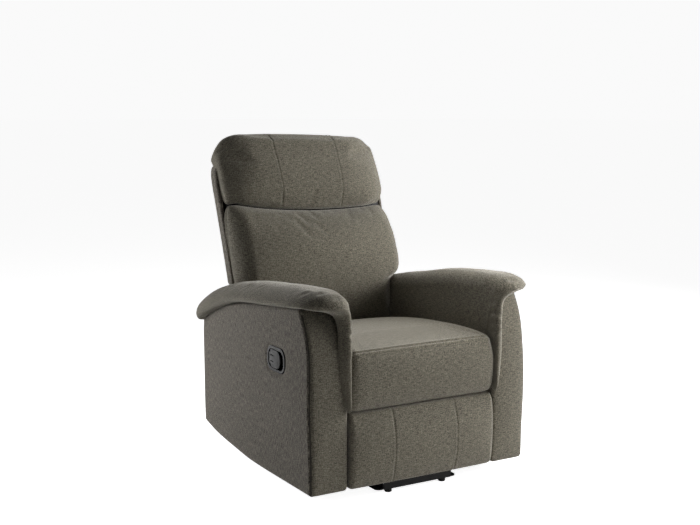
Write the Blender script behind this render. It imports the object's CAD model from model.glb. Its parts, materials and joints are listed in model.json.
import json
import math

import bpy
import numpy as np
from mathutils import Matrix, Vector
from mathutils.bvhtree import BVHTree


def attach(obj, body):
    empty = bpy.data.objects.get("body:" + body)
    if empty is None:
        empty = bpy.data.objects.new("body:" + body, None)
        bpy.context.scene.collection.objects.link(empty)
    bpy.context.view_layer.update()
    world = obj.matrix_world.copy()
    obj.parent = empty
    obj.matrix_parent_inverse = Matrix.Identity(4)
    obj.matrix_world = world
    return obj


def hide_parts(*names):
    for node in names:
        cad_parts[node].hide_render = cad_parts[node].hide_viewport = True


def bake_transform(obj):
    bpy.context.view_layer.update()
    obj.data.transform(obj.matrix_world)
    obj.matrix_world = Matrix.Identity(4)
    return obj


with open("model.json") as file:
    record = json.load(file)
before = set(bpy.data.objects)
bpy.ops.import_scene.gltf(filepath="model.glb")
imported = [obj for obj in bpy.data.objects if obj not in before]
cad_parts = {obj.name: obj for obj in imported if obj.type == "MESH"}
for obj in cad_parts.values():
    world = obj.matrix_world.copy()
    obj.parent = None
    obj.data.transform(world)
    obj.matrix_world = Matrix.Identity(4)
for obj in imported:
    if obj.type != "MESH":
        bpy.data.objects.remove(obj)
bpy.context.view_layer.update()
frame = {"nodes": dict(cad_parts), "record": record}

# Lengths are metres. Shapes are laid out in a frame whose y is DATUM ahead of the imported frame's.
DATUM = 0.024233
scene = bpy.context.scene
SIDES = (("left", 1.0), ("right", -1.0))


# ------------------------------------------------------------------ curves
def trace(points, closed=False):
    """A fine centripetal Catmull-Rom curve through points, and the index along them of each of its points."""
    p = np.array(points, float)
    if closed:
        q = np.vstack([p[-1:], p, p[:2]])
    else:
        q = np.vstack([2 * p[:1] - p[1:2], p, 2 * p[-1:] - p[-2:-1]])
    out = []
    for i in range(1, len(q) - 2):
        a, b, c, d = q[i - 1], q[i], q[i + 1], q[i + 2]
        t0 = 0.0
        t1 = t0 + max(np.linalg.norm(b - a), 1e-9) ** 0.5
        t2 = t1 + max(np.linalg.norm(c - b), 1e-9) ** 0.5
        t3 = t2 + max(np.linalg.norm(d - c), 1e-9) ** 0.5
        t = np.linspace(t1, t2, 20, endpoint=False)[:, None]
        a1 = (t1 - t) / (t1 - t0) * a + (t - t0) / (t1 - t0) * b
        a2 = (t2 - t) / (t2 - t1) * b + (t - t1) / (t2 - t1) * c
        a3 = (t3 - t) / (t3 - t2) * c + (t - t2) / (t3 - t2) * d
        b1 = (t2 - t) / (t2 - t0) * a1 + (t - t0) / (t2 - t0) * a2
        b2 = (t3 - t) / (t3 - t1) * a2 + (t - t1) / (t3 - t1) * a3
        out.append((t2 - t) / (t2 - t1) * b1 + (t - t1) / (t2 - t1) * b2)
    out = np.vstack(out + [q[-2][None]])
    return out, np.arange(len(out)) / 20


def at_index(points, where):
    """The points of the closed curve at these indices along its points."""
    out, index = trace(points, True)
    return np.stack([np.interp(where, index, out[:, k]) for k in range(out.shape[1])], 1)


def curve(points, n, closed=False):
    """n points, even by length, on a smooth curve through points."""
    out, _ = trace(points, closed)
    s = np.r_[0, np.cumsum(np.linalg.norm(np.diff(out, axis=0), axis=1))]
    w = np.linspace(0, s[-1], n + 1)[:-1] if closed else np.linspace(0, s[-1], n)
    return np.stack([np.interp(w, s, out[:, k]) for k in range(out.shape[1])], 1)


def smooth(pairs):
    """A function of one number on a smooth curve through pairs."""
    c = curve(pairs, 600)
    order = np.argsort(c[:, 0])
    return lambda x: np.interp(x, c[order, 0], c[order, 1])


def step(x, a, b):
    t = np.clip((np.asarray(x, float) - a) / (b - a), 0, 1)
    return t * t * (3 - 2 * t)


def lattice_noise(p, scale, seed):
    """Smooth noise from -1 to 1 at the points p."""
    q = np.asarray(p, float) * scale + seed * 17.31
    i = np.floor(q).astype(np.int64)
    f = q - i
    f = f * f * (3 - 2 * f)

    def value(o):
        h = (i[:, 0] + o[0]) * 374761393 + (i[:, 1] + o[1]) * 668265263 + (i[:, 2] + o[2]) * 2147483647 + seed * 1274126177
        h = (h ^ (h >> 13)) * 1274126177
        h = h ^ (h >> 16)
        return (h & 0xFFFF) / 32767.5 - 1.0

    total = 0
    for o in [(a, b, c) for a in (0, 1) for b in (0, 1) for c in (0, 1)]:
        w = 1.0
        for k in range(3):
            w = w * (f[:, k] if o[k] else 1 - f[:, k])
        total = total + w * value(o)
    return total


# ------------------------------------------------------------------ meshes
def build(name, verts, faces, uvs=None):
    v = np.array(verts, float)
    v[:, 1] -= DATUM
    me = bpy.data.meshes.new(name)
    me.from_pydata(v.tolist(), [], faces)
    if uvs is not None:
        layer = me.uv_layers.new(name="weave")
        layer.uv.foreach_set("vector", np.array(uvs, np.float32).ravel())
    me.validate()
    ob = bpy.data.objects.new(name, me)
    scene.collection.objects.link(ob)
    outward(ob)
    me.polygons.foreach_set("use_smooth", [True] * len(me.polygons))
    return ob


def outward(ob):
    import bmesh

    bm = bmesh.new()
    bm.from_mesh(ob.data)
    bmesh.ops.recalc_face_normals(bm, faces=bm.faces)
    bm.to_mesh(ob.data)
    bm.free()


def coords(me):
    co = np.empty(len(me.vertices) * 3, np.float32)
    me.vertices.foreach_get("co", co)
    return co.reshape(-1, 3).astype(float)


def normals(me):
    no = np.empty(len(me.vertices) * 3, np.float32)
    me.vertex_normals.foreach_get("vector", no)
    return no.reshape(-1, 3).astype(float)


def put(ob, co):
    ob.data.vertices.foreach_set("co", np.asarray(co, np.float32).ravel())
    ob.data.update()


def loft(name, P, cap_rings=4):
    """Closed rings P[i, j] joined one to the next, both ends filled with shrinking rings."""
    n, m = P.shape[:2]
    along = np.r_[0, np.cumsum(np.linalg.norm(np.diff(P, axis=0), axis=2).mean(1))]
    ring = np.concatenate([P, P[:, :1]], 1)
    around = np.concatenate([np.zeros((n, 1)), np.cumsum(np.linalg.norm(np.diff(ring, axis=1), axis=2), 1)], 1)
    around = around.mean(0)
    verts = [P.reshape(-1, 3)]
    faces, uvs = [], []
    for i in range(n - 1):
        for j in range(m):
            k = (j + 1) % m
            faces.append((i * m + j, i * m + k, (i + 1) * m + k, (i + 1) * m + j))
            uvs += [(along[i], around[j]), (along[i], around[j + 1]), (along[i + 1], around[j + 1]), (along[i + 1], around[j])]
    count = n * m
    for end, sign in ((0, -1), (n - 1, 1)):
        base = P[end]
        c = base.mean(0)
        last = np.arange(m) + end * m
        old = base
        for r in range(1, cap_rings + 1):
            f = 1 - r / (cap_rings + 1)
            new = c + (base - c) * f
            verts.append(new)
            ids = np.arange(m) + count
            count += m
            for j in range(m):
                k = (j + 1) % m
                faces.append((last[j], last[k], ids[k], ids[j]))
                uvs += [tuple(old[j][1:]), tuple(old[k][1:]), tuple(new[k][1:]), tuple(new[j][1:])]
            last, old = ids, new
        verts.append(c[None])
        for j in range(m):
            k = (j + 1) % m
            faces.append((last[j], last[k], count))
            uvs += [tuple(old[j][1:]), tuple(old[k][1:]), tuple(c[1:])]
        count += 1
    return build(name, np.vstack(verts), faces, uvs)


def slab(name, width, height, place, r, thick, corner=0.0, pitch=0.009, crown=0.0, flat=4.0):
    """A padded panel. place(u, v, h) is the patch at u, v from 0 to 1, raised by h along its own normal. Its edges are
    rounded with radius r, its corners with radius corner, and its middle stands crown proud."""
    def lines(length):
        edge = [r * (1 - math.cos(k * math.pi / 12)) for k in range(6)]
        n = max(4, int((length - 2 * r) / pitch))
        mid = np.linspace(r, length - r, n + 1)
        return np.r_[edge, mid, [length - e for e in reversed(edge)]]

    a, b = lines(width), lines(height)
    A, B = np.meshgrid(a, b, indexing="ij")
    if corner > 0:
        for sa in (0, 1):
            for sb in (0, 1):
                p = corner - (A if sa == 0 else width - A)
                q = corner - (B if sb == 0 else height - B)
                hit = (p > 0) & (q > 0)
                f = np.maximum(p, q)[hit] / np.maximum(np.hypot(p, q)[hit], 1e-9)
                p2, q2 = p[hit] * f, q[hit] * f
                A[hit] = corner - p2 if sa == 0 else width - corner + p2
                B[hit] = corner - q2 if sb == 0 else height - corner + q2
    # depth below the face, from the distance to the rounded outline
    grid_a, grid_b = np.meshgrid(a, b, indexing="ij")
    da = np.maximum(r - np.minimum(grid_a, width - grid_a), 0)
    db = np.maximum(r - np.minimum(grid_b, height - grid_b), 0)
    e = np.maximum(da, db)
    low = r - np.sqrt(np.maximum(r * r - e * e, 0))
    U, V = A / width, B / height
    puff = crown * (1 - np.abs(2 * U - 1) ** flat) * (1 - np.abs(2 * V - 1) ** flat)
    n, m = U.shape
    front = place(U, V, puff - low)
    back = place(U, V, np.full_like(U, -thick))
    verts = np.vstack([front.reshape(-1, 3), back.reshape(-1, 3)])
    faces, uvs = [], []
    T = np.stack([A, B], 2)

    def quad(ids, at):
        faces.append(tuple(ids))
        uvs.extend(tuple(x) for x in at)

    N = n * m
    for i in range(n - 1):
        for j in range(m - 1):
            k = [(i, j), (i + 1, j), (i + 1, j + 1), (i, j + 1)]
            quad([x * m + y for x, y in k], [T[x, y] for x, y in k])
            quad([N + x * m + y for x, y in reversed(k)], [T[x, y] for x, y in reversed(k)])
    border = [(i, 0) for i in range(n)] + [(n - 1, j) for j in range(1, m)] + [(i, m - 1) for i in range(n - 2, -1, -1)] + [(0, j) for j in range(m - 2, 0, -1)]
    for k in range(len(border)):
        p, q = border[k], border[(k + 1) % len(border)]
        quad([p[0] * m + p[1], N + p[0] * m + p[1], N + q[0] * m + q[1], q[0] * m + q[1]], [T[p], T[p] + thick, T[q] + thick, T[q]])
    return build(name, verts, faces, uvs)


def merge(name, *obs):
    """The meshes of obs as one object."""
    verts, faces, uvs, base = [], [], [], 0
    for o in obs:
        me = o.data
        co = coords(me)
        verts.append(co)
        layer = me.uv_layers.get("weave")
        for p in me.polygons:
            faces.append([base + v for v in p.vertices])
            uvs += [tuple(layer.uv[k].vector) for k in p.loop_indices]
        base += len(co)
        bpy.data.objects.remove(o)
    v = np.vstack(verts)
    v[:, 1] += DATUM
    return build(name, v, faces, uvs)


def apply_all(ob):
    bpy.context.view_layer.update()
    deps = bpy.context.evaluated_depsgraph_get()
    me = bpy.data.meshes.new_from_object(ob.evaluated_get(deps), preserve_all_data_layers=True, depsgraph=deps)
    old = ob.data
    ob.modifiers.clear()
    ob.data = me
    bpy.data.meshes.remove(old)
    me.name = ob.name
    me.polygons.foreach_set("use_smooth", [True] * len(me.polygons))


def subdivide(ob, levels=1):
    mod = ob.modifiers.new("smooth", "SUBSURF")
    mod.levels = mod.render_levels = levels
    mod.use_limit_surface = False
    mod.quality = 1
    apply_all(ob)


def inflate(ob, pinned, pressure=4.0, shrink=0.0, frames=20, cap=0.022, tension=15.0, bend=0.5, share=1.0):
    """Blows the cover up as cloth held where pinned is 1, and keeps the result within cap of the start."""
    before = coords(ob.data)
    group = ob.vertex_groups.new(name="pin")
    for w in np.unique(np.round(pinned, 2)):
        if w > 0:
            group.add(np.nonzero(np.round(pinned, 2) == w)[0].tolist(), float(w), "REPLACE")
    mod = ob.modifiers.new("cloth", "CLOTH")
    st = mod.settings
    st.quality = 5
    st.mass = 0.3
    st.tension_stiffness = st.compression_stiffness = tension
    st.shear_stiffness = tension / 3
    st.bending_stiffness = bend
    st.use_pressure = True
    st.uniform_pressure_force = pressure
    st.shrink_min = shrink
    st.effector_weights.gravity = 0
    st.vertex_group_mass = "pin"
    mod.collision_settings.use_collision = False
    mod.point_cache.frame_start = 1
    mod.point_cache.frame_end = frames
    for f in range(1, frames + 1):
        scene.frame_set(f)
    deps = bpy.context.evaluated_depsgraph_get()
    after = coords(ob.evaluated_get(deps).data)
    ob.modifiers.remove(mod)
    ob.vertex_groups.clear()
    scene.frame_set(1)
    move = after - before
    length = np.linalg.norm(move, axis=1, keepdims=True)
    put(ob, before + move * np.minimum(1, cap / np.maximum(length, 1e-9)) * np.reshape(share, (-1, 1)))


def ease(ob, weight, rounds):
    """Evens out the surface where weight is above 0."""
    co = coords(ob.data)
    e = np.empty(len(ob.data.edges) * 2, np.int32)
    ob.data.edges.foreach_get("vertices", e)
    a, b = e.reshape(-1, 2).T
    ends, others = np.r_[a, b], np.r_[b, a]
    count = np.maximum(np.bincount(ends, minlength=len(co)), 1)
    w = weight(*co.T)[:, None]
    for _ in range(rounds):
        mean = np.stack([np.bincount(ends, co[others, k], len(co)) for k in range(3)], 1) / count[:, None]
        co = co + .5 * w * (mean - co)
    put(ob, co)


def relief(ob, amount):
    """Moves each vertex along its normal by amount(points in the layout frame, normals)."""
    co, no = coords(ob.data), normals(ob.data)
    q = co.copy()
    q[:, 1] += DATUM
    put(ob, co + no * np.asarray(amount(q, no))[:, None])


def to_line(p, line):
    """Distance from the points p to the polyline, and the share of its length there."""
    line = np.asarray(line, float)
    seg = np.diff(line, axis=0)
    length = np.linalg.norm(seg, axis=1)
    start = np.r_[0, np.cumsum(length)]
    best = np.full(len(p), 1e9)
    where = np.zeros(len(p))
    for k in range(len(seg)):
        t = np.clip((p - line[k]) @ seg[k] / max(length[k] ** 2, 1e-12), 0, 1)
        d = np.linalg.norm(p - (line[k] + t[:, None] * seg[k]), axis=1)
        hit = d < best
        best[hit] = d[hit]
        where[hit] = (start[k] + t[hit] * length[k]) / start[-1]
    return best, where


def groove(p, line, depth, width, ends=0.0):
    """A sewn-in line: how far points near it go in, with the fabric rising to it on both sides."""
    d, t = to_line(p, line)
    g = -depth * np.exp(-((d / width) ** 2)) + 0.35 * depth * np.exp(-(((d - 2.4 * width) / (1.5 * width)) ** 2))
    if ends > 0:
        g = g * step(t, 0, ends) * step(1 - t, 0, ends)
    return g


def pucker(p, a, b, depth, width):
    """A short crease from a to b, deepest near a."""
    d, t = to_line(p, [a, b])
    fade = (1 - t) ** 0.8 * step(t + 0.12, 0, 0.12)
    return (-depth * np.exp(-((d / width) ** 2)) + 0.5 * depth * np.exp(-(((d - 1.9 * width) / width) ** 2))) * fade


# --------------------------------------------------------------- materials
def shader(name):
    m = bpy.data.materials.new(name)
    m.use_nodes = True
    nt = m.node_tree
    bsdf = nt.nodes["Principled BSDF"]
    return m, nt, bsdf


def node(nt, kind, **values):
    n = nt.nodes.new(kind)
    for k, v in values.items():
        if k in n.inputs:
            n.inputs[k].default_value = v
        else:
            setattr(n, k, v)
    return n


def ramp(nt, stops):
    n = nt.nodes.new("ShaderNodeValToRGB")
    e = n.color_ramp.elements
    while len(e) < len(stops):
        e.new(0.5)
    for x, (at, c) in zip(e, stops):
        x.position = at
        x.color = (*c, 1)
    return n


def tone(c, f):
    return tuple(min(1.0, x * f) for x in c)


def scaled(nt, source, sx, sy, sz=1.0):
    n = node(nt, "ShaderNodeMapping")
    n.inputs["Scale"].default_value = (sx, sy, sz)
    nt.links.new(source, n.inputs["Vector"])
    return n.outputs["Vector"]


def math_node(nt, op, a, b=None):
    n = nt.nodes.new("ShaderNodeMath")
    n.operation = op
    for k, x in enumerate((a, b)):
        if x is None:
            continue
        if isinstance(x, (int, float)):
            n.inputs[k].default_value = x
        else:
            nt.links.new(x, n.inputs[k])
    return n.outputs[0]


def fabric(name, colour, weft=(62.0, 400.0, 0.56), warp=(84.0, 420.0, 0.44), fine=0.50, contrast=1.0):
    """A melange tweed: uneven weft and warp threads, each given as streaks per metre along and across it and its share
    of the colour, crossing over and under."""
    m, nt, bsdf = shader(name)
    L = nt.links.new
    uv = node(nt, "ShaderNodeUVMap", uv_map="weave").outputs["UV"]
    # threads wander a little
    drift = node(nt, "ShaderNodeTexNoise", noise_dimensions="2D", Scale=1.0, Detail=1.0)
    L(scaled(nt, uv, 28, 28), drift.inputs["Vector"])
    sway = node(nt, "ShaderNodeVectorMath", operation="SUBTRACT")
    L(drift.outputs["Color"], sway.inputs[0])
    sway.inputs[1].default_value = (0.5, 0.5, 0.5)
    bend = node(nt, "ShaderNodeVectorMath", operation="SCALE")
    L(sway.outputs[0], bend.inputs[0])
    bend.inputs["Scale"].default_value = 0.006
    moved = node(nt, "ShaderNodeVectorMath", operation="ADD")
    L(uv, moved.inputs[0])
    L(bend.outputs[0], moved.inputs[1])
    at = moved.outputs[0]
    rows = node(nt, "ShaderNodeTexNoise", noise_dimensions="2D", Scale=1.0, Detail=1.6, Roughness=0.62)
    L(scaled(nt, at, weft[0], weft[1]), rows.inputs["Vector"])
    columns = node(nt, "ShaderNodeTexNoise", noise_dimensions="2D", Scale=1.0, Detail=1.6, Roughness=0.62)
    L(scaled(nt, at, warp[1], warp[0]), columns.inputs["Vector"])
    fleck = node(nt, "ShaderNodeTexNoise", noise_dimensions="2D", Scale=1.0, Detail=2.0, Roughness=0.55)
    L(scaled(nt, at, 390, 390), fleck.inputs["Vector"])
    fuzz = node(nt, "ShaderNodeTexNoise", noise_dimensions="2D", Scale=1.0, Detail=1.0)
    L(scaled(nt, uv, 1500, 1500), fuzz.inputs["Vector"])
    mixed = math_node(nt, "ADD", math_node(nt, "MULTIPLY", rows.outputs["Fac"], weft[2]), math_node(nt, "MULTIPLY", columns.outputs["Fac"], warp[2]))
    mixed = math_node(nt, "ADD", math_node(nt, "MULTIPLY", mixed, 1 - fine), math_node(nt, "MULTIPLY", fleck.outputs["Fac"], fine))
    # each crossing is a small rounded hill, a shade darker where the threads dip
    split = node(nt, "ShaderNodeSeparateXYZ")
    L(scaled(nt, at, 620 * math.pi, 620 * math.pi), split.inputs[0])
    hill = math_node(nt, "MULTIPLY", math_node(nt, "ABSOLUTE", math_node(nt, "SINE", split.outputs[0])), math_node(nt, "ABSOLUTE", math_node(nt, "SINE", split.outputs[1])))
    k = contrast
    colours = ramp(nt, [
        (0.34, tone(colour, max(0.05, 1 - 0.74 * k))), (0.43, tone(colour, 1 - 0.38 * k)), (0.50, tone(colour, 1.0)),
        (0.57, tone(colour, 1 + 0.44 * k)), (0.66, tone(colour, 1 + 0.98 * k))])
    L(mixed, colours.inputs["Fac"])
    patch = node(nt, "ShaderNodeTexNoise", noise_dimensions="2D", Scale=1.0, Detail=3.0)
    L(scaled(nt, uv, 9, 9), patch.inputs["Vector"])
    wear = node(nt, "ShaderNodeMapRange")
    wear.inputs["To Min"].default_value, wear.inputs["To Max"].default_value = 0.91, 1.09
    L(patch.outputs["Fac"], wear.inputs["Value"])
    dip = node(nt, "ShaderNodeMapRange")
    dip.inputs["To Min"].default_value, dip.inputs["To Max"].default_value = 0.80, 1.14
    L(hill, dip.inputs["Value"])
    level = math_node(nt, "MULTIPLY", wear.outputs["Result"], dip.outputs["Result"])
    shade = node(nt, "ShaderNodeMix", data_type="RGBA", blend_type="MULTIPLY")
    shade.inputs[0].default_value = 1.0
    L(colours.outputs["Color"], shade.inputs[6])
    L(level, shade.inputs[7])
    L(shade.outputs[2], bsdf.inputs["Base Color"])
    rough = node(nt, "ShaderNodeMapRange")
    rough.inputs["To Min"].default_value, rough.inputs["To Max"].default_value = 0.80, 0.97
    L(fuzz.outputs["Fac"], rough.inputs["Value"])
    L(rough.outputs["Result"], bsdf.inputs["Roughness"])
    height = math_node(nt, "ADD", math_node(nt, "MULTIPLY", hill, 0.45), math_node(nt, "ADD", mixed, math_node(nt, "MULTIPLY", fuzz.outputs["Fac"], 0.25)))
    bump = node(nt, "ShaderNodeBump", Strength=0.45, Distance=0.0012)
    L(height, bump.inputs["Height"])
    L(bump.outputs["Normal"], bsdf.inputs["Normal"])
    bsdf.inputs["Specular IOR Level"].default_value = 0.20
    bsdf.inputs["Sheen Weight"].default_value = 0.55
    bsdf.inputs["Sheen Roughness"].default_value = 0.38
    bsdf.inputs["Sheen Tint"].default_value = (0.9, 0.87, 0.8, 1)
    return m


def hard(name, colour, rough, metallic=0.0, grain=900.0, bump=0.12, distance=0.0003, speck=0.12, stretch=(1, 1, 1), spec=0.5):
    """Paint, metal or plastic with a fine grain, on its own coordinates."""
    m, nt, bsdf = shader(name)
    L = nt.links.new
    at = node(nt, "ShaderNodeTexCoord").outputs["Object"]
    fine = node(nt, "ShaderNodeTexNoise", Scale=1.0, Detail=3.0, Roughness=0.6)
    L(scaled(nt, at, grain * stretch[0], grain * stretch[1], grain * stretch[2]), fine.inputs["Vector"])
    broad = node(nt, "ShaderNodeTexNoise", Scale=14.0, Detail=4.0, Roughness=0.6)
    L(at, broad.inputs["Vector"])
    both = math_node(nt, "ADD", math_node(nt, "MULTIPLY", fine.outputs["Fac"], 0.6), math_node(nt, "MULTIPLY", broad.outputs["Fac"], 0.4))
    colours = ramp(nt, [(0.3, tone(colour, 1 - speck)), (0.5, colour), (0.7, tone(colour, 1 + speck))])
    L(both, colours.inputs["Fac"])
    L(colours.outputs["Color"], bsdf.inputs["Base Color"])
    r = node(nt, "ShaderNodeMapRange")
    r.inputs["From Min"].default_value, r.inputs["From Max"].default_value = 0.3, 0.7
    r.inputs["To Min"].default_value, r.inputs["To Max"].default_value = max(0.05, rough - 0.09), min(1, rough + 0.09)
    L(broad.outputs["Fac"], r.inputs["Value"])
    L(r.outputs["Result"], bsdf.inputs["Roughness"])
    b = node(nt, "ShaderNodeBump", Strength=bump, Distance=distance)
    L(fine.outputs["Fac"], b.inputs["Height"])
    L(b.outputs["Normal"], bsdf.inputs["Normal"])
    bsdf.inputs["Metallic"].default_value = metallic
    bsdf.inputs["Specular IOR Level"].default_value = spec
    return m


def plywood(name):
    """Pale ply: long grain on the faces, thin dark glue lines between the layers."""
    m, nt, bsdf = shader(name)
    L = nt.links.new
    at = node(nt, "ShaderNodeTexCoord").outputs["Object"]
    grain = node(nt, "ShaderNodeTexNoise", Scale=1.0, Detail=6.0, Roughness=0.65, Distortion=0.6)
    L(scaled(nt, at, 90, 7, 90), grain.inputs["Vector"])
    figure = node(nt, "ShaderNodeTexWave", wave_type="BANDS", bands_direction="Z", Scale=18.0, Distortion=7.0, Detail=3.0)
    L(scaled(nt, at, 1, 0.12, 1), figure.inputs["Vector"])
    both = math_node(nt, "ADD", math_node(nt, "MULTIPLY", grain.outputs["Fac"], 0.7), math_node(nt, "MULTIPLY", figure.outputs["Fac"], 0.3))
    colours = ramp(nt, [(0.25, (0.30, 0.19, 0.095)), (0.5, (0.48, 0.34, 0.19)), (0.75, (0.60, 0.46, 0.29))])
    L(both, colours.inputs["Fac"])
    L(colours.outputs["Color"], bsdf.inputs["Base Color"])
    r = node(nt, "ShaderNodeMapRange")
    r.inputs["To Min"].default_value, r.inputs["To Max"].default_value = 0.55, 0.8
    L(grain.outputs["Fac"], r.inputs["Value"])
    L(r.outputs["Result"], bsdf.inputs["Roughness"])
    b = node(nt, "ShaderNodeBump", Strength=0.2, Distance=0.0006)
    L(both, b.inputs["Height"])
    L(b.outputs["Normal"], bsdf.inputs["Normal"])
    return m


COVER = (0.136, 0.1233, 0.0945)
SIDE = (0.134, 0.1185, 0.0972)
cover_mat = fabric("cover_tweed", COVER)
side_mat = fabric("side_tweed", SIDE, weft=(150.0, 330.0, 0.30), warp=(62.0, 440.0, 0.66), fine=0.28, contrast=1.36)
welt_mat = hard("welt_cloth", (0.042, 0.038, 0.030), 0.9, grain=1800, bump=0.3, speck=0.3, spec=0.2)
thread_mat = hard("sewing_thread", (0.150, 0.138, 0.110), 0.75, grain=2500, bump=0.4, speck=0.25)
NODE_LOOK = {
    "plywood": plywood("plywood_birch"),
    "black_steel": hard("black_powder_coat", (0.0045, 0.0045, 0.0048), 0.48, grain=1400, bump=0.25, speck=0.3, spec=0.3),
    "link_steel": hard("link_steel_black", (0.02, 0.02, 0.021), 0.38, metallic=0.35, grain=700, bump=0.12, speck=0.25, stretch=(1, 1, 0.15)),
    "zinc_hardware": hard("zinc_plate", (0.52, 0.52, 0.50), 0.34, metallic=1.0, grain=500, bump=0.08, speck=0.12),
    "spring_steel": hard("spring_wire", (0.30, 0.295, 0.29), 0.36, metallic=1.0, grain=900, bump=0.1, speck=0.15),
    "bezel_plastic": hard("bezel_black", (0.020, 0.021, 0.022), 0.45, grain=2600, bump=0.3, distance=0.0002, speck=0.15),
    "paddle_plastic": hard("paddle_grey", (0.062, 0.065, 0.065), 0.48, grain=2600, bump=0.3, distance=0.0002, speck=0.12),
    "glide_plastic": hard("glide_black", (0.018, 0.018, 0.018), 0.55, grain=1200, bump=0.2, speck=0.2),
    "roller_plastic": hard("roller_nylon", (0.62, 0.60, 0.55), 0.5, grain=900, bump=0.1, speck=0.06),
    "cable_sheath": hard("cable_black", (0.015, 0.015, 0.015), 0.5, grain=1500, bump=0.2, speck=0.2),
    "upholstery": cover_mat,
    "side_fabric": side_mat,
}
slot_of = {}
for entry in frame["record"]["materials"]:
    for n in entry.get("nodes", []):
        slot_of[n] = entry["slot"]
for n, o in frame["nodes"].items():
    look = NODE_LOOK[slot_of.get(n, "black_steel")]
    if o.material_slots:
        for s in o.material_slots:
            s.material = look
    else:
        o.data.materials.append(look)


def dress(ob, material, body, nodes=()):
    ob.data.materials.clear()
    ob.data.materials.append(material)
    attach(ob, body)
    if nodes:
        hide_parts(*nodes)
    return ob


def inset(ring, core, amount):
    """The ring's points moved towards the nearest point of the core line by amount."""
    core = np.asarray(core, float)
    best = np.full(len(ring), 1e9)
    aim = np.zeros_like(ring)
    for a, b in zip(core[:-1], core[1:]):
        d = b - a
        t = np.clip((ring - a) @ d / (d @ d), 0, 1)
        q = a + t[:, None] * d
        l = np.linalg.norm(ring - q, axis=1)
        hit = l < best
        best[hit], aim[hit] = l[hit], q[hit]
    f = np.minimum(amount, 0.92 * best) / np.maximum(best, 1e-9)
    return ring + (aim - ring) * f[:, None]


def spread(n, at=(), width=.02, gain=3.0, closed=False):
    """n shares of a length from 0 to 1, closer together near the shares in at."""
    t = np.linspace(0, 1, 4001)
    rho = np.ones_like(t)
    for a in at:
        d = np.abs(t - a)
        if closed:
            d = np.minimum(d, 1 - d)
        rho += gain * np.exp(-(d / width) ** 2)
    c = np.r_[0, np.cumsum((rho[1:] + rho[:-1]) / 2)]
    return np.interp(np.linspace(0, 1, n + 1)[:-1] if closed else np.linspace(0, 1, n), c / c[-1], t)


def cushion(name, middle, edge, end, half, r, around, across, power=2.5, narrow=None, lines=(), seams=(), lean=None):
    """A cushion lofted along x from its profile in y and z, which eases from middle to edge and rounds over into end.
    Its mesh is closer near the profile points in lines and the x positions in seams."""
    fine, index = trace(middle, True)
    s = np.r_[0, np.cumsum(np.linalg.norm(np.diff(fine, axis=0), axis=1))]
    near = [s[np.argmin(np.linalg.norm(fine - np.array(q), axis=1))] / s[-1] for q in lines]
    where = np.interp(spread(around, near, .016, 2.2, True) * s[-1], s, index)
    mid, rim, last = (at_index(p, where) for p in (middle, edge, end))
    turn = np.linspace(0, 1, 11)[1:] * math.pi / 2
    span = half - r
    flat = (spread(across, [(x + span) / (2 * span) for x in seams], .022, 2.4) * 2 - 1) * span
    xs = np.r_[[-span - r * math.sin(t) for t in turn[::-1]], flat, [span + r * math.sin(t) for t in turn]]
    over = np.r_[[1 - math.cos(t) for t in turn[::-1]], np.zeros(across), [1 - math.cos(t) for t in turn]]
    P = np.zeros((len(xs), around, 3))
    for i, (x, d) in enumerate(zip(xs, over)):
        w = 1 - min(1, abs(x) / half) ** power
        P[i, :, 0] = x
        P[i, :, 1:] = rim + (mid - rim) * w + (last - rim) * d
    if narrow is not None:
        # the front is narrower than the seam at the rear, more so at the end that takes the pull
        front = step(rear_line(P[:, :, 2]) - .030 - P[:, :, 1], 0, .12)
        P[:, :, 0] *= 1 - (1 - narrow(P[:, :, 2]) / half) * front * np.where(P[:, :, 0] > 0, 1.0, .5)
    if lean is not None:
        P = lean(P)
    return loft(name, P)


def surface(ob):
    return BVHTree.FromObject(ob, bpy.context.evaluated_depsgraph_get())


def on_surface(tree, points):
    """The points of the layout frame moved to the nearest place on the piece, with the normals there."""
    at, no = [], []
    for p in np.asarray(points, float):
        hit = tree.find_nearest(Vector((p[0], p[1] - DATUM, p[2])))
        at.append((hit[0].x, hit[0].y + DATUM, hit[0].z))
        no.append(tuple(hit[1]))
    return np.array(at), np.array(no)


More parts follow.
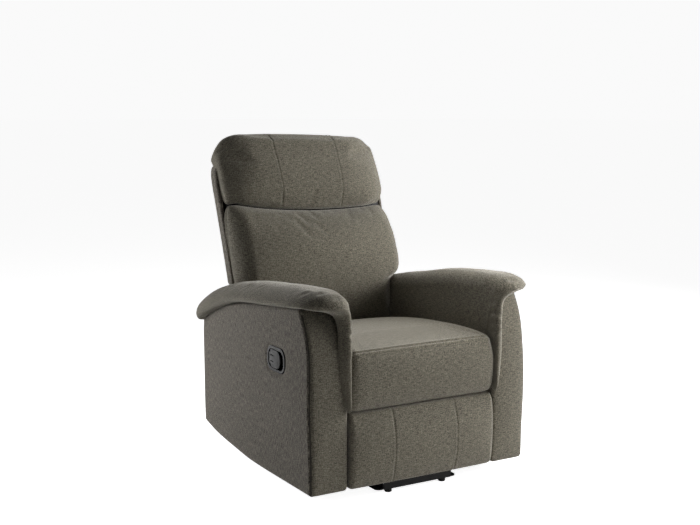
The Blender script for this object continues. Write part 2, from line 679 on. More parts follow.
def stitches(name, ob, lines, body, pitch=.0052, length=.0038, radius=.00045):
    """A row of thread stitches along each line, lying on the piece with both ends drawn into the cloth."""
    verts, faces = [], []
    tree = surface(ob)
    for line in lines:
        line = np.asarray(line, float)
        total = np.linalg.norm(np.diff(line, axis=0), axis=1).sum()
        count = max(1, int(total / pitch))
        fine = curve(line, count * 4 + 1)
        at, no = on_surface(tree, fine)
        s = np.r_[0, np.cumsum(np.linalg.norm(np.diff(at, axis=0), axis=1))]
        for k in range(count):
            a = (k + .5) * s[-1] / count
            ws = a + np.linspace(-.5, .5, 6) * length
            pos = np.stack([np.interp(ws, s, at[:, c]) for c in range(3)], 1)
            nor = np.stack([np.interp(ws, s, no[:, c]) for c in range(3)], 1)
            nor /= np.linalg.norm(nor, axis=1, keepdims=True)
            tan = np.gradient(pos, axis=0)
            tan /= np.linalg.norm(tan, axis=1, keepdims=True)
            side = np.cross(nor, tan)
            lift = np.array([-.0006, .00025, .0005, .0005, .00025, -.0006])
            thick = radius * np.array([.7, 1, 1.1, 1.1, 1, .7])
            base = len(verts)
            for i in range(6):
                for q in range(6):
                    t = 2 * math.pi * q / 6
                    verts.append(pos[i] + nor[i] * (lift[i] + thick[i] * math.sin(t)) + side[i] * thick[i] * math.cos(t))
            for i in range(5):
                for q in range(6):
                    w = (q + 1) % 6
                    faces.append((base + i * 6 + q, base + i * 6 + w, base + i * 6 + 6 + w, base + i * 6 + 6 + q))
            faces.append(tuple(base + q for q in range(5, -1, -1)))
            faces.append(tuple(base + 30 + q for q in range(6)))
    piece = build(name, np.array(verts), faces)
    return dress(piece, thread_mat, body)


def shares_pinned(ob, rule):
    """The pin weights from a rule of the points in the layout frame."""
    q = coords(ob.data)
    q[:, 1] += DATUM
    return np.clip(rule(q[:, 0], q[:, 1], q[:, 2]), 0, 1)


# -------------------------------------------------------------------- seat
seat_middle = [(-.340, .2640), (-.359, .2670), (-.370, .283), (-.377, .318), (-.380, .352), (-.379, .388), (-.374, .417), (-.362, .438),
               (-.343, .4450), (-.310, .4490), (-.26, .4505), (-.19, .4490), (-.10, .4445), (0, .4360), (.09, .4240), (.16, .413), (.198, .405),
               (.2105, .399), (.2135, .389), (.213, .365), (.211, .348), (.198, .3425), (.05, .342), (-.1, .342), (-.25, .342), (-.284, .341),
               (-.2935, .330), (-.2945, .300), (-.2955, .275), (-.303, .2640)]
seat_edge = [(-.339, .2640), (-.358, .2670), (-.369, .283), (-.3755, .318), (-.3780, .350), (-.3765, .384), (-.3715, .411), (-.360, .4355),
             (-.340, .4425), (-.305, .4455), (-.255, .4465), (-.19, .4445), (-.10, .4390), (0, .428), (.09, .4145), (.16, .401), (.198, .395),
             (.2095, .390), (.2125, .381), (.213, .363), (.211, .348), (.198, .3425), (.05, .342), (-.1, .342), (-.25, .342), (-.284, .341),
             (-.2935, .330), (-.2945, .300), (-.2955, .275), (-.303, .2640)]
seat_end = inset(np.array(seat_edge), [(-.325, .300), (-.318, .385), (.17, .365)], [.015 + .022 * float(step(z, .375, .435)) for _, z in seat_edge])
seat = cushion("seat_cover", seat_middle, seat_edge, seat_end, .2495, .030, 150, 44, power=2.6, lines=[(-.362, .438)])
inflate(seat, shares_pinned(seat, lambda x, y, z: np.maximum.reduce([
    step(-z, -.349, -.344) * (y > -.29), step(y, .185, .205), step(np.abs(x), .238, .247), step(-z, -.275, -.266),
    1 - step(np.hypot(y + .362, z - .437), .003, .010)])), pressure=3.0, shrink=0.0, cap=.006)
subdivide(seat)
seat_seam = [(x, -.362 + .006 * abs(x / .24) ** 2.3, .438 - .0055 * abs(x / .24) ** 2.3) for x in np.linspace(-.238, .238, 60)]
seat_seam, _ = on_surface(surface(seat), seat_seam)
relief(seat, lambda p, n: groove(p, seat_seam, .0026, .0028))
dress(seat, cover_mat, "seat", ["seat_cushion"])
seat_row = seat_seam + np.array([0, .004, .0055])
stitches("seat_stitching", seat, [seat_row], "seat")

# -------------------------------------------------------------------- back
# padded outer back, wrapped round the sides of the back board
rear_line = smooth([(.30, .3175), (.33, .318), (.40, .322), (.47, .329), (.545, .339), (.60, .354), (.655, .373), (.78, .414), (.905, .4545), (.926, .461)])
shell_half = smooth([(.30, .2460), (.50, .2460), (.512, .2465), (.519, .252), (.527, .272), (.534, .292), (.542, .3005), (.57, .3028), (.68, .3040), (.80, .3065), (.865, .3080), (.890, .3065), (.910, .3010), (.93, .2930)])
board_half = smooth([(.30, .2170), (.54, .2170), (.58, .2350), (.716, .2880), (.93, .2880)])

head_middle = [(.336, .7750), (.321, .7780), (.309, .789), (.303, .822), (.313, .865), (.329, .905), (.348, .940), (.364, .967), (.378, .990),
               (.391, 1.007), (.405, 1.0165), (.421, 1.0165), (.438, 1.006), (.451, .986), (.4575, .957), (.457, .935), (.449, .9275), (.425, .927),
               (.4115, .920), (.401, .894), (.382, .838), (.363, .785), (.350, .7745)]
head_edge = [(.338, .7750), (.326, .7785), (.317, .790), (.317, .828), (.329, .863), (.345, .899), (.362, .930), (.376, .954), (.388, .973),
             (.400, .988), (.412, .998), (.426, 1.000), (.440, .992), (.451, .975), (.457, .952), (.456, .935), (.449, .9275), (.425, .927),
             (.4115, .920), (.401, .894), (.382, .838), (.363, .785), (.350, .7745)]
head_end = [(.352, .778), (.353, .783), (.355, .797), (.363, .826), (.374, .858), (.386, .884), (.397, .905), (.407, .920), (.416, .930),
            (.425, .937), (.433, .941), (.440, .942), (.446, .941), (.450, .938), (.452, .934), (.452, .931), (.447, .9285), (.432, .927),
            (.4135, .920), (.403, .894), (.384, .838), (.367, .787), (.357, .779)]
head_half = smooth([(.77, .256), (.778, .265), (.787, .276), (.80, .2875), (.82, .2960), (.86, .3000), (.90, .2985), (.93, .2950), (.96, .2890), (.99, .2830), (1.02, .2780)])


def settle(P):
    """The filling has settled a little to one end, and the seam between the two cushions sags in the middle."""
    P = P.copy()
    x, z = P[:, :, 0], P[:, :, 2]
    near_seam = step(z, .700, .762) * (1 - step(z, .790, .860))
    free = np.maximum(step(z, .950, .990), step(rear_line(z) - .030 - P[:, :, 1], 0, .05))
    P[:, :, 2] = z - .012 * (x / .3) * step(z, .66, .80) * free + (np.where(x < 0, .020, .014) * np.minimum(1, (x / .27) ** 2) - .007) * near_seam
    P[:, :, 2] += .0055 * step(z, .945, 1.0)
    return P


def round_ends(ob, height):
    """Draws the ends of a cushion in beside the seam, so that its corners are round."""
    co = coords(ob.data)
    x, z = co[:, 0], co[:, 2]
    seam = np.where(x > 0, .7725, .7950)
    near = np.clip(1 - np.abs(z - seam) / height, 0, 1) ** 2
    co[:, 0] = x - np.sign(x) * np.where(x > 0, .017, .007) * near * step(np.abs(x), .17, .29)
    put(ob, co)


HEAD_SEAM = [(.310, .781), (.302, .797), (.304, .828), (.313, .865), (.329, .905), (.348, .940), (.364, .967), (.378, .990), (.391, 1.007), (.405, 1.0165), (.421, 1.0165), (.438, 1.006)]
head = cushion("head_cover", head_middle, head_edge, head_end, .3000, .088, 112, 46, power=2.8, narrow=head_half, seams=(-.114, .114), lean=settle)
head_pins = shares_pinned(head, lambda x, y, z: np.maximum.reduce([
    step(y - (.3955 + (z - .78) * .335), -.040, -.022) * (z < .925), step(y, .425, .44) * (z < .945), 1 - step(z, .777, .783), step(np.abs(x), .287, .296)]))
inflate(head, head_pins, pressure=3.0, shrink=-.006, cap=.008)
subdivide(head)
round_ends(head, .060)
head_lines = []
tree = surface(head)
for s in (-1, 1):
    c = curve(HEAD_SEAM, 90)
    x = s * (.111 + .006 * (c[:, 1] - .785) / .2)
    head_lines.append(on_surface(tree, np.c_[x, c])[0])
relief(head, lambda p, n: sum(groove(p, l, .0006, .0026) for l in head_lines))
dress(head, cover_mat, "back", ["head_cushion"])
stitches("head_stitching", head, [l + np.array([d, 0, 0]) for l in head_lines for d in (-.0055, .0055)], "back")

lumbar_middle = [(.330, .7725), (.308, .7680), (.287, .759), (.264, .744), (.238, .717), (.214, .672), (.196, .627), (.186, .583), (.184, .54),
                 (.188, .50), (.196, .46), (.206, .425), (.2165, .392), (.224, .372), (.237, .362), (.258, .362), (.2685, .372), (.273, .41),
                 (.281, .48), (.289, .545), (.304, .60), (.3215, .655), (.345, .73), (.349, .762)]
lumbar_edge = [(.332, .7725), (.316, .767), (.300, .758), (.283, .743), (.261, .715), (.238, .672), (.218, .627), (.204, .583), (.197, .54),
               (.197, .50), (.202, .46), (.210, .425), (.2185, .392), (.226, .372), (.238, .362), (.258, .362), (.2685, .372), (.273, .41),
               (.281, .48), (.289, .545), (.304, .60), (.3215, .655), (.345, .73), (.349, .762)]
lumbar_end = [(.342, .770), (.338, .768), (.336, .760), (.332, .745), (.322, .713), (.308, .670), (.294, .627), (.281, .585), (.268, .545),
              (.258, .50), (.252, .46), (.248, .425), (.246, .395), (.247, .378), (.250, .370), (.258, .368), (.264, .375), (.269, .41),
              (.279, .48), (.287, .545), (.302, .60), (.3195, .655), (.343, .727), (.347, .757)]
lumbar_half = smooth([(.30, .2470), (.45, .2470), (.520, .2475), (.532, .2510), (.540, .264), (.547, .279), (.556, .291), (.568, .2985), (.59, .3030),
                      (.64, .3030), (.69, .3000), (.72, .2935), (.745, .2820), (.762, .2670), (.775, .250)])
lumbar = cushion("lumbar_cover", lumbar_middle, lumbar_edge, lumbar_end, .3045, .052, 132, 46, power=2.6, narrow=lumbar_half, lean=settle)
inflate(lumbar, shares_pinned(lumbar, lambda x, y, z: np.maximum.reduce([
    step(y - np.interp(z, [.36, .48, .545, .60, .73, .77], [.262, .270, .278, .292, .334, .345]), -.02, -.004), 1 - step(z, .40, .44), step(z, .764, .769),
    step(np.abs(x) - np.interp(z, [.54, .585], [.236, .291]), 0, .008)])), pressure=3.0, shrink=-.005, cap=.008)
subdivide(lumbar)
round_ends(lumbar, .048)
dress(lumbar, cover_mat, "back", ["lumbar_cushion"])

# cloth tucked between the seat and the back, which opens out as the back reclines
tuck_line = curve([(.2095, .3925), (.2142, .381), (.2148, .358), (.2165, .340), (.2195, .3335), (.2225, .340), (.2240, .356), (.2290, .3745)], 26)
across = np.gradient(tuck_line, axis=0)
across = np.stack([-across[:, 1], across[:, 0]], 1) / np.linalg.norm(across, axis=1, keepdims=True)
ring = np.vstack([tuck_line + .0007 * across, (tuck_line - .0007 * across)[::-1]])
tuck = loft("seat_tuck_cloth", np.array([np.c_[np.full(len(ring), x), ring] for x in np.linspace(-.222, .222, 24)]), 1)
tuck.data.materials.append(cover_mat)
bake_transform(tuck)


def shell_ring(z, lip, r, half, back):
    """One level of the back panel: rounded rear corners, and lips that reach round the board."""
    y0 = rear_line(z)
    front = y0 - .0285
    tip = front - lip
    inner = min(half - .0115, float(board_half(z)) + .0015)
    pts = []
    for t in np.linspace(0, math.pi / 2, 7):
        pts.append((half - r + r * math.cos(t), back - r + r * math.sin(t)))
    for x in np.linspace(half - r, -(half - r), 40)[1:-1]:
        pts.append((x, back + .004 * (1 - (x / half) ** 4)))
    for t in np.linspace(math.pi / 2, math.pi, 7):
        pts.append((-(half - r) + r * math.cos(t), back - r + r * math.sin(t)))
    pts += [(-half, tip + .012), (-half + .0005, tip + .004), (-half + .004, tip), (-inner - .002, tip), (-inner, tip + .002), (-inner, front)]
    for x in np.linspace(-inner + .01, inner - .01, 30):
        pts.append((x, front))
    pts += [(inner, front), (inner, tip + .002), (inner + .002, tip), (half - .004, tip), (half - .0005, tip + .004), (half, tip + .012)]
    return np.array([(x, y, z) for x, y in pts])


levels = np.r_[.331, .3325, .336, np.linspace(.342, .505, 20), np.linspace(.510, .575, 22), np.linspace(.583, .905, 38), .912, .9165, .9195, .9212, .922]
rings = []
for z in levels:
    top = max(0.0, z - .906) / .016
    round_top = 1 - math.sqrt(max(0.0, 1 - min(1, top) ** 2))
    lip = .0195 * float(step(z, .522, .552))
    low = max(0.0, .345 - z) / .014
    back = rear_line(z) - .018 * (1 - math.sqrt(max(0.0, 1 - max(0.0, (z - .908) / .0142) ** 2))) - .006 * low * low
    rings.append(shell_ring(z, lip, .013, shell_half(z) - .014 * round_top - .002 * low, back))
shell = loft("back_shell_cover", np.array(rings))
weave = shell.data.uv_layers["weave"]
for k in range(len(weave.uv)):
    u, v = weave.uv[k].vector
    weave.uv[k].vector = (v, u)
dress(shell, side_mat, "back", ["back_shell"])

# ---------------------------------------------------------------- footrest
rest_middle = [(-.345, .0400), (-.360, .0415), (-.369, .0490), (-.3775, .090), (-.381, .155), (-.379, .205), (-.372, .244), (-.361, .2592), (-.345, .2622),
               (-.330, .2602), (-.3205, .2590), (-.3190, .2565), (-.3195, .2535), (-.3308, .2525), (-.3312, .24), (-.3312, .155), (-.3312, .07),
               (-.3308, .0577), (-.3195, .0565), (-.3190, .0500), (-.3205, .0440), (-.330, .0420)]
rest_edge = [(-.344, .0400), (-.358, .0415), (-.3665, .0490), (-.3745, .090), (-.3775, .155), (-.3760, .205), (-.369, .244), (-.359, .2592), (-.344, .2622),
             (-.330, .2602), (-.3205, .2590), (-.3190, .2565), (-.3195, .2535), (-.3308, .2525), (-.3312, .24), (-.3312, .155), (-.3312, .07),
             (-.3308, .0577), (-.3195, .0565), (-.3190, .0500), (-.3205, .0440), (-.330, .0420)]
rest_end = inset(np.array(rest_edge), [(-.338, .070), (-.341, .155), (-.338, .238)], .012)
footrest = cushion("footrest_cover", rest_middle, rest_edge, rest_end, .2485, .013, 120, 46, power=2.6, seams=(-.108, .108))
inflate(footrest, shares_pinned(footrest, lambda x, y, z: np.maximum.reduce([
    step(y, -.345, -.335), step(np.abs(x), .236, .245), 1 - step(z, .043, .053), step(z, .252, .260)])),
    pressure=2.0, shrink=-.002, cap=.004)
subdivide(footrest)
rest_lines = []
tree = surface(footrest)
for s in (-1, 1):
    c = curve([(-.352, .0410), (-.3645, .0490), (-.3775, .092), (-.381, .155), (-.379, .205), (-.372, .244), (-.362, .2590), (-.346, .2622)], 60)
    rest_lines.append(on_surface(tree, np.c_[np.full(60, s * .108), c])[0])
relief(footrest, lambda p, n: sum(groove(p, l, .0011, .0024) for l in rest_lines))
dress(footrest, cover_mat, "footrest", ["footrest_pad"])
stitches("footrest_stitching", footrest, [l + np.array([.0055 * (1 if l[0, 0] < 0 else -1), 0, 0]) for l in rest_lines], "footrest")

# -------------------------------------------------------------------- arms
front_edge = smooth([(.03, -.3600), (.047, -.3602), (.15, -.3612), (.25, -.3618), (.33, -.3612), (.37, -.3596), (.42, -.3555), (.452, -.351), (.485, -.342),
                     (.513, -.331), (.54, -.3165), (.56, -.304), (.57, -.297)])
top_edge = smooth([(-.36, .5685), (-.321, .566), (-.232, .557), (-.127, .546), (-.016, .534), (.07, .523), (.150, .509), (.225, .488), (.291, .464),
                   (.340, .443), (.379, .421), (.40, .408)])
low_edge = smooth([(-.40, .0390), (-.2, .0390), (-.05, .0392), (.05, .0420), (.117, .0485), (.242, .0615), (.307, .0725), (.370, .0880), (.40, .0955)])
# along the arm pad, from its rear tip: crown y z, base y z, lower inner edge y z, outer x, inner x, roundness of the outer corner
PAD = [
    (.4200, .4360, .404, .4270, .370, .4270, .362, .274, 0), (.4275, .4510, .402, .4230, .370, .422, .374, .265, 0),
    (.4195, .4700, .393, .4205, .369, .403, .383, .2575, 0), (.390, .4930, .376, .4225, .366, .373, .3920, .2530, 0),
    (.351, .5145, .341, .4405, .34, .362, .3965, .2505, 0), (.28, .5430, .275, .470, .275, .362, .3975, .250, 0),
    (.215, .5575, .212, .4930, .212, .362, .3975, .250, 0), (.15, .5700, .148, .5105, .148, .362, .3975, .250, 0),
    (.07, .5825, .07, .5250, .07, .362, .3975, .250, 0), (0, .5920, 0, .5342, 0, .362, .3975, .250, 0),
    (-.1, .6030, -.1, .5455, -.09, .362, .3975, .250, .05), (-.18, .6105, -.175, .553, -.155, .362, .3970, .250, .2),
    (-.25, .6155, -.235, .559, -.205, .362, .3960, .250, .45), (-.31, .6175, -.275, .5630, -.240, .362, .3940, .250, .7),
    (-.347, .6150, -.300, .5655, -.262, .362, .3910, .250, .9), (-.376, .6065, -.318, .5675, -.280, .3615, .3870, .250, 1),
    (-.3950, .5935, -.3285, .5685, -.292, .361, .3810, .250, 1), (-.4020, .5790, -.3345, .5670, -.301, .360, .3690, .250, 1),
    (-.4005, .5680, -.3370, .5630, -.305, .359, .3420, .250, .8), (-.3970, .5560, -.3400, .5550, -.3085, .358, .3120, .250, .4),
    (-.3915, .5380, -.3435, .5380, -.316, .355, .2930, .250, .1), (-.3865, .5090, -.3475, .5080, -.322, .350, .2870, .250, 0),
    (-.3835, .4700, -.354, .468, -.327, .344, .2855, .250, 0), (-.3830, .4300, -.358, .429, -.331, .336, .2845, .250, 0),
    (-.3830, .3900, -.3605, .389, -.334, .327, .2830, .250, 0), (-.3825, .3500, -.3615, .349, -.3365, .316, .2790, .250, 0),
    (-.3825, .3120, -.362, .312, -.3395, .302, .2735, .250, 0), (-.3820, .2880, -.362, .288, -.343, .287, .2675, .250, 0),
    (-.3790, .2740, -.3615, .276, -.346, .279, .2620, .2505, 0), (-.3720, .2680, -.3615, .271, -.349, .275, .2575, .2515, 0)]


def pad_rings(count, across):
    """The pad's rings, from its rear tip over the top and down the strip at the inner front."""
    key = np.array(PAD)
    t = np.r_[0, np.cumsum(np.linalg.norm(np.diff(key[:, :2], axis=0), axis=1))]
    c = curve(np.c_[key, t], 1800)
    s = np.r_[0, np.cumsum(np.linalg.norm(np.diff(c[:, :2], axis=0), axis=1))]
    nose = s[np.argmin(np.hypot(c[:, 0] + .412, c[:, 1] - .570))] / s[-1]
    w = spread(count, [nose], .05, 2.0) * s[-1]
    rows = np.stack([np.interp(w, s, c[:, k]) for k in range(9)], 1)
    out = []
    for yc, zc, yb, zb, yq, zq, xo, xi, turn in rows:
        C, B, Q = np.array([yc, zc]), np.array([yb, zb]), np.array([yq, zq])
        T = max(np.linalg.norm(C - B), 1e-6)
        n = (C - B) / T
        W = xo - xi
        full = float(step(W, .036, .120))          # 1 on the pillow, 0 on the strip
        turn = float(np.clip(turn, 0, 1))
        k = min(1.0, W / .036)
        pillow = np.array([(.0003, T - .036), (.0045, T - .019), (.014, T - .0080), (.029, T - .0015), (.36 * W, T), (.55 * W, T - .0040), (.73 * W, T - .0110),
                           (.88 * W, T - .0205), (.965 * W, T - .0310), (W, .34 * T), (.985 * W, .14 * T), (.93 * W, .03 * T), (.55 * W, .02 * T), (.25 * W, .02 * T)])
        bow = np.array([(.0003, T - .044), (.0045, T - .025), (.014, T - .0125), (.030, T - .0045), (.38 * W, T - .0008), (.57 * W, T - .0035), (.74 * W, T - .0140),
                        (.87 * W, .59 * T), (.955 * W, .39 * T), (W, .20 * T), (.97 * W, .07 * T), (.90 * W, .02 * T), (.55 * W, .02 * T), (.25 * W, .02 * T)])
        strip = np.array([(.0002 * k, .45 * T), (.0010 * k, .74 * T), (.0030 * k, .93 * T), (.0070 * k, T), (.0120 * k, .975 * T), (.0170 * k, .88 * T),
                          (.62 * W, .70 * T), (.77 * W, .50 * T), (.89 * W, .27 * T), (.965 * W, .09 * T), (.985 * W, .0), (.85 * W, -.03 * T), (.6 * W, .02 * T), (.40 * W, .02 * T)])
        shape = (pillow * (1 - turn) + bow * turn) * full + strip * (1 - full)
        shoulder = B + n * max(shape[0, 1], .25 * T)

        def at(x, yz):
            return (x, yz[0], yz[1])

        pts = [at(xi + .0100, Q), at(xi + .0060, Q - .001 * n), at(xi + .0015, Q + .002 * n)]
        for f in (.12, .3, .5, .7, .88):
            pts.append(at(xi - .0016 * math.sin(math.pi * f) * full, Q + (shoulder - Q) * f))
        pts.append(at(xi + shape[0, 0], shoulder))
        pts += [at(xi + dx, B + n * h) for dx, h in shape[1:]]
        pts += [at(xi + .016 * full + .0125 * (1 - full), B), at(xi + .0115, B + (Q - B) * .12), at(xi + .0110, B + (Q - B) * .35), at(xi + .0105, B + (Q - B) * .6), at(xi + .0103, B + (Q - B) * .85)]
        out.append(curve(pts, across, True))
    return np.array(out)


PAD_BASE = np.array(sorted((r[2], r[3]) for r in PAD if r[3] > .41 and r[0] > -.40)).T
# short creases in the pads: where each starts and fades out, its depth and width
CREASES = [
    ((.345, .300, .529), (.374, .318, .505), .0016, .0042), ((.350, .238, .545), (.378, .252, .522), .0015, .0040),
    ((.348, .182, .558), (.380, .204, .533), .0018, .0045), ((.352, .118, .568), (.382, .140, .545), .0014, .0040),
    ((.352, .052, .579), (.383, .074, .556), .0016, .0042), ((.356, -.040, .590), (.384, -.018, .566), .0010, .0040),
    ((.350, -.300, .606), (.374, -.290, .585), .0016, .0045), ((.330, -.345, .605), (.362, -.345, .585), .0016, .0045),
    ((.300, -.375, .598), (.330, -.385, .578), .0014, .0045), ((.2500, -.372, .515), (.2500, -.345, .505), .0020, .0035),
    ((.2500, -.374, .488), (.2500, -.350, .478), .0022, .0035), ((.2500, -.376, .455), (.2500, -.352, .449), .0016, .0032),
    ((.260, -.383, .492), (.276, -.372, .487), .0020, .0035), ((.260, -.383, .445), (.274, -.371, .440), .0012, .0032)]

SIDE_X = .3720
HANDLE = (-.153, .394)


def belly(z):
    """How far the arm swells outwards near its front."""
    return .0042 * np.sin(math.pi * np.clip((z - .10) / .36, 0, 1)) ** 2


def side_patch(s, dent):
    """The outer side of an arm, from its front edge round the rear corner. It is drawn in round the handle if dent is set."""
    r = .016
    run = .3795 - r

    def plan(d):
        # d is the distance along the side from y = 0: straight, a rounded corner, then across the rear
        a = np.clip((d - run) / r, 0, math.pi / 2)
        straight = np.minimum(d, run)
        past = np.maximum(d - run - r * math.pi / 2, 0)
        x = SIDE_X - r + r * np.cos(a) - past
        y = straight + r * np.sin(a)
        return x, y, np.cos(a), np.sin(a)

    end = run + r * math.pi / 2 + (SIDE_X - r - .2625)

    def place(u, v, h):
        zf = .0390 + v * (.5635 - .0390)
        d0 = front_edge(zf) + .0095
        d = d0 + u * (end - d0)
        x, y, nx, ny = plan(d)
        yy = np.minimum(y, .3795)
        x = x + (1 - step(y, -.34, -.05)) * belly(zf)
        z = low_edge(yy) + (top_edge(yy) - low_edge(yy)) * v
        if dent:
            # rounded frame 112 by 74 mm: distance outside its outline
            q = np.hypot(np.maximum(np.abs(y - HANDLE[0]) - .026, 0), np.maximum(np.abs(z - HANDLE[1]) - .007, 0)) - .030
            x = x - .0046 * (1 - step(q, -.002, .012)) * (h > -.012)
        return np.stack([s * (x + nx * h), y + ny * h, z], -1)

    return place


def cut_handle(ob, s):
    """A rounded hole through the panel for the handle's cup."""
    ring = []
    for cy, cz, a0 in ((.026, .007, 0), (-.026, .007, 90), (-.026, -.007, 180), (.026, -.007, 270)):
        for a in np.radians(np.linspace(a0, a0 + 90, 9)):
            ring.append((HANDLE[0] + cy + .0255 * math.cos(a), HANDLE[1] + cz + .0255 * math.sin(a)))
    m = len(ring)
    verts = [(s * x, y, z) for x in (.34, .40) for y, z in ring]
    faces = [tuple(range(m - 1, -1, -1)), tuple(range(m, 2 * m))] + [(k, (k + 1) % m, m + (k + 1) % m, m + k) for k in range(m)]
    uvs = [(0.0, 0.0)] * sum(len(f) for f in faces)
    tool = build("handle_hole", verts, faces, uvs)
    mod = ob.modifiers.new("hole", "BOOLEAN")
    mod.operation = "DIFFERENCE"
    mod.solver = "EXACT"
    mod.object = tool
    apply_all(ob)
    bpy.data.objects.remove(tool)


for side, s in SIDES:
    body = "base"
    P = pad_rings(128, 84)
    # one pad is pressed a little flatter than the other
    P[:, :, 2] += (-.0130 if s > 0 else .004) * step(P[:, :, 1], -.14, .12) * step(P[:, :, 2], .47, .54)
    P[:, :, 0] *= s
    pad = loft(f"arm_pad_{side}_cover", P)
    inflate(pad, shares_pinned(pad, lambda x, y, z: np.maximum.reduce([
        1 - step(z - np.interp(y, PAD_BASE[0], PAD_BASE[1]), .004, .022), step(-y, .33, .37),
        1 - step(np.abs(x), .256, .262)])), pressure=2.5, shrink=0.0, cap=.006,
        share=shares_pinned(pad, lambda x, y, z: 1 - step(-y, .22, .33)))
    subdivide(pad)
    ease(pad, lambda x, y, z: step(-y, .335, .375) * step(z, .455, .505) * (1 - step(np.abs(x), .315, .350)), 60)
    relief(pad, lambda p, n: sum(pucker(p, (s * a[0], a[1], a[2]), (s * b[0], b[1], b[2]), 1.7 * d, 2.0 * w) for a, b, d, w in CREASES)
           + .0006 * lattice_noise(p, 22, 3) * step(p[:, 2], .40, .50))
    dress(pad, cover_mat, body, [f"arm_pad_{side}"])

    outer = slab(f"arm_side_{side}_cover", .86, .50, side_patch(s, s < 0), .0080, .0190, crown=.0020, flat=6.0, pitch=.0065 if s < 0 else .011)
    if s < 0:
        cut_handle(outer, s)
    dress(outer, side_mat, body, [f"arm_outer_panel_{side}"])

    def front_place(u, v, h):
        z = .0390 + v * (.5655 - .0390)
        x = .2525 + u * (.3680 + belly(z) - .2525)
        y = front_edge(z) + .0005
        slope = (front_edge(z + .004) - front_edge(z - .004)) / .008
        k = 1 / np.sqrt(1 + slope ** 2)
        return np.stack([s * x, y - h * k, z + h * slope * k], -1)

    front = slab(f"arm_front_{side}_cover", .1155, .52, front_place, .0095, .0150, corner=.012, crown=.0055, flat=3.0)
    dress(front, cover_mat, body, [f"arm_front_panel_{side}"])

    # welt sewn into the joint between the side and the front
    heights = np.linspace(.046, .548, 70)
    turn = np.linspace(0, 2 * math.pi, 11)[:-1]
    welt = np.zeros((len(heights), len(turn), 3))
    for k, z in enumerate(heights):
        welt[k, :, 0] = s * (.3672 + belly(z) + .0030 * np.cos(turn))
        welt[k, :, 1] = front_edge(z) + .0080 + .0030 * np.sin(turn)
        welt[k, :, 2] = z
    dress(loft(f"arm_welt_{side}", welt, 1), welt_mat, body)

    def inner_place(u, v, h):
        z0 = np.full_like(u, .0)
        y = -.3455 + u * (.372 + .3455)
        z = low_edge(y) + .005 + v * (.3585 - low_edge(y) - .005)
        return np.stack([s * (.2505 - h) + z0, y, z], -1)

    inner = slab(f"arm_inner_{side}_cover", .7175, .30, inner_place, .004, .0110, crown=.0, pitch=.014)
    dress(inner, cover_mat, body, [f"arm_inner_panel_{side}"])


def valance_place(u, v, h):
    x = -.2492 + u * .4984
    return np.stack([x, .3495 + h, .0755 + v * .269], -1)


valance = slab("rear_valance_cover", .4984, .269, valance_place, .005, .0130, corner=.006, crown=.003)
dress(valance, side_mat, "base", ["rear_valance"])

# -------------------------------------------------------- floor and studio
floor_me = bpy.data.meshes.new("floor")
n = 64
floor_me.from_pydata([(40 * math.cos(2 * math.pi * k / n), 40 * math.sin(2 * math.pi * k / n), 0) for k in range(n)], [], [list(range(n))])
floor = bpy.data.objects.new("floor", floor_me)
scene.collection.objects.link(floor)
fm, nt, bsdf = shader("floor_pale")
grain = node(nt, "ShaderNodeTexNoise", Scale=6.0, Detail=2.0)
cr = ramp(nt, [(0.3, (0.83, 0.83, 0.825)), (0.7, (0.86, 0.86, 0.855))])
nt.links.new(grain.outputs["Fac"], cr.inputs["Fac"])
nt.links.new(cr.outputs["Color"], bsdf.inputs["Base Color"])
bsdf.inputs["Roughness"].default_value = 0.9
glow = nt.nodes.new("ShaderNodeEmission")
glow.inputs["Strength"].default_value = 0.93
both = nt.nodes.new("ShaderNodeAddShader")
direct = nt.nodes.new("ShaderNodeLightPath")
choose = nt.nodes.new("ShaderNodeMixShader")
nt.links.new(bsdf.outputs[0], both.inputs[0])
nt.links.new(glow.outputs[0], both.inputs[1])
nt.links.new(direct.outputs["Is Camera Ray"], choose.inputs[0])
nt.links.new(bsdf.outputs[0], choose.inputs[1])
nt.links.new(both.outputs[0], choose.inputs[2])
nt.links.new(choose.outputs[0], nt.nodes["Material Output"].inputs["Surface"])
floor_me.materials.append(fm)

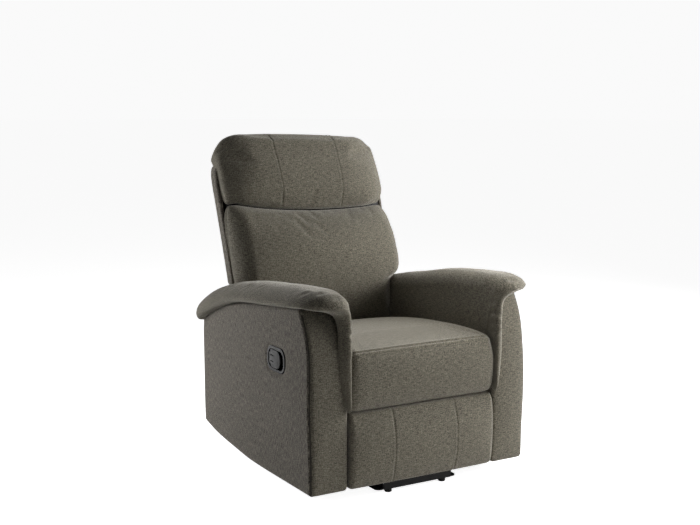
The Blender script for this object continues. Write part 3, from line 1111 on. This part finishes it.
world = bpy.data.worlds.new("studio")
scene.world = world
world.use_nodes = True
wn = world.node_tree
back = wn.nodes["Background"]
back.inputs["Color"].default_value = (1, 1, 1, 1)
back.inputs["Strength"].default_value = 0.02
seen = wn.nodes.new("ShaderNodeBackground")
seen.inputs["Color"].default_value = (1, 1, 1, 1)
seen.inputs["Strength"].default_value = 0.955
path = wn.nodes.new("ShaderNodeLightPath")
pick = wn.nodes.new("ShaderNodeMixShader")
wn.links.new(path.outputs["Is Camera Ray"], pick.inputs[0])
wn.links.new(back.outputs[0], pick.inputs[1])
wn.links.new(seen.outputs[0], pick.inputs[2])
wn.links.new(pick.outputs[0], wn.nodes["World Output"].inputs["Surface"])


def softbox(name, at, aim, size, power, spread=180):
    light = bpy.data.lights.new(name, "AREA")
    light.shape = "DISK"
    light.size = size
    light.energy = power
    light.spread = math.radians(spread)
    ob = bpy.data.objects.new(name, light)
    ob.location = at
    ob.rotation_euler = (Vector(aim) - Vector(at)).to_track_quat("-Z", "Y").to_euler()
    ob.visible_camera = False
    scene.collection.objects.link(ob)


softbox("key_right", (1.15, -1.30, 1.05), (0.1, -.1, .55), 1.0, 16.2)
softbox("side_right", (2.3, -.7, 1.3), (0.1, -.1, .55), 1.1, 70)
softbox("rear_right", (1.5, .9, 2.2), (0.1, 0, .55), 1.2, 20)
softbox("fill_left_rear", (-1.55, .95, 1.15), (-0.3, .1, .40), 1.1, 7.5)
softbox("fill_left_low", (-1.25, 1.5, .55), (-0.37, .2, .33), .8, 16.5)
softbox("front", (-0.4, -3.6, 1.2), (0, 0, .5), 2.0, 7.5)
softbox("seat_top", (0.24, -.16, 1.95), (0.13, -.26, .45), .25, 1.2, 40)

cam = bpy.data.cameras.new("camera")
cam.sensor_width = 36
cam.lens = 61.71
cam.shift_x = -0.0140
camera = bpy.data.objects.new("camera", cam)
camera.location = (-1.895, -3.2142, 1.1756)
camera.rotation_euler = (Vector((0, -DATUM, .63)) - Vector(camera.location)).to_track_quat("-Z", "Y").to_euler()
scene.collection.objects.link(camera)
scene.camera = camera
scene.view_settings.view_transform = "Standard"
